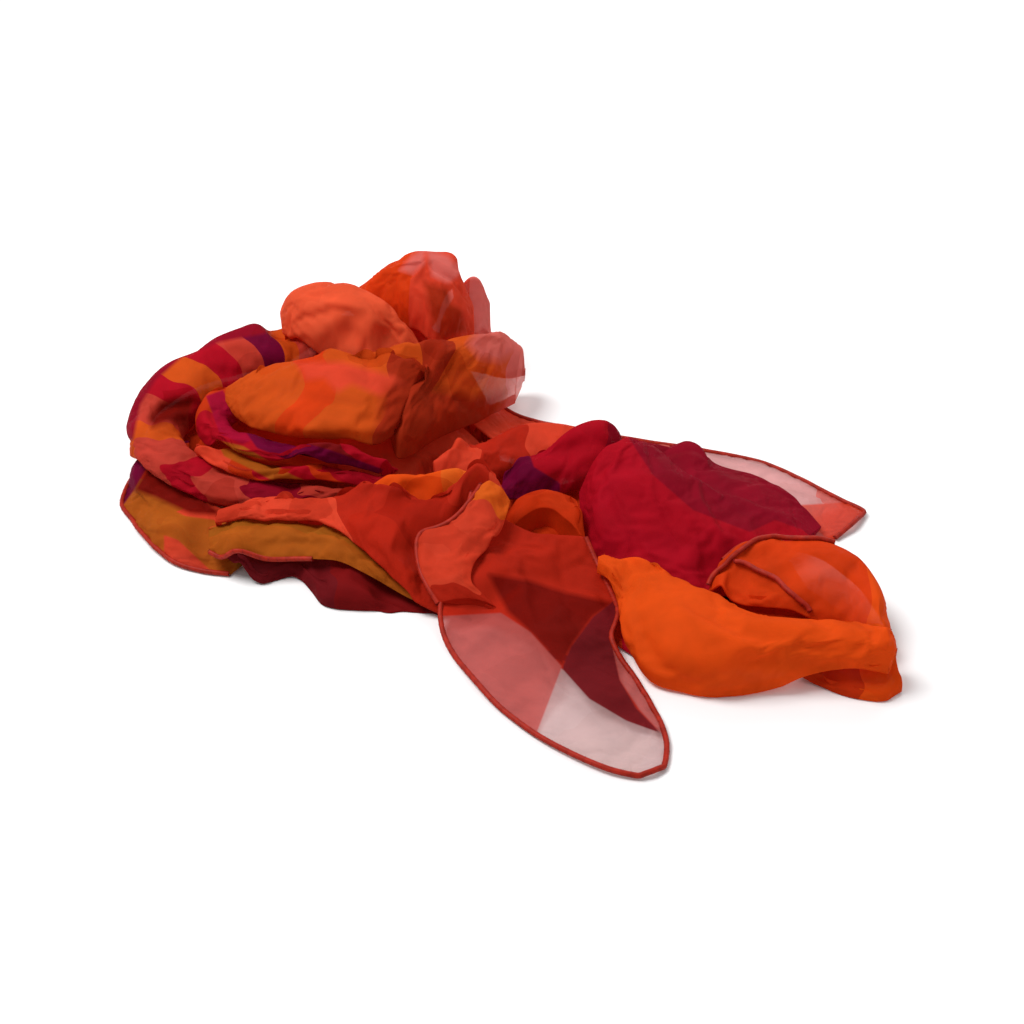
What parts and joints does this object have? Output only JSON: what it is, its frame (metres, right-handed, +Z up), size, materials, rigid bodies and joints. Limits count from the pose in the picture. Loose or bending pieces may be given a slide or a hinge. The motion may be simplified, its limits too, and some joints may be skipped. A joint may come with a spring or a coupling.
{
  "type": "scarf",
  "caption": "Square silk chiffon scarf dropped in a loose heap, with a hand-rolled hem, sheer flat corners, soft rolls and puffs of warm-coloured cloth.",
  "frame": {"origin": "on the surface the scarf lies on, under the middle of its bounding box", "axes": "+Z up, away from the surface; +X to the viewer's right and +Y away from the viewer, as the heap lies in the picture"},
  "size_m": [0.4374, 0.4358, 0.0838],
  "materials": {
    "silk_orange": "soft satin sheen, sheer plain weave",
    "silk_coral": "soft satin sheen, sheer plain weave",
    "silk_sheer_pink": "soft satin sheen, sheer plain weave",
    "silk_gold": "soft satin sheen, sheer plain weave",
    "silk_plum": "soft satin sheen, sheer plain weave",
    "silk_crimson": "soft satin sheen, sheer plain weave",
    "silk_burgundy": "soft satin sheen, sheer plain weave"
  },
  "bodies": {
    "root": {"core": "silk_burgundy", "back_flap": "silk_sheer_pink", "gold_skirt": "silk_gold", "plum_fold": "silk_plum", "gold_fold": "silk_gold", "ring_roll": "silk_coral", "stripe_fold": "silk_crimson", "swirl_fold": "silk_crimson", "back_band": "silk_coral", "crimson_back": "silk_burgundy", "crimson_front": "silk_crimson", "loop": "silk_orange", "back_tip": "silk_sheer_pink", "top_puff": "silk_orange", "back_dome": "silk_orange", "centre_puff": "silk_orange", "centre_lobe": "silk_orange", "funnel_back": "silk_orange", "front_fall": "silk_coral", "front_corner": "silk_sheer_pink", "fold_over": "silk_coral", "right_hill": "silk_orange", "right_loop": "silk_orange", "right_flap": "silk_orange"}
  },
  "joints": []
}
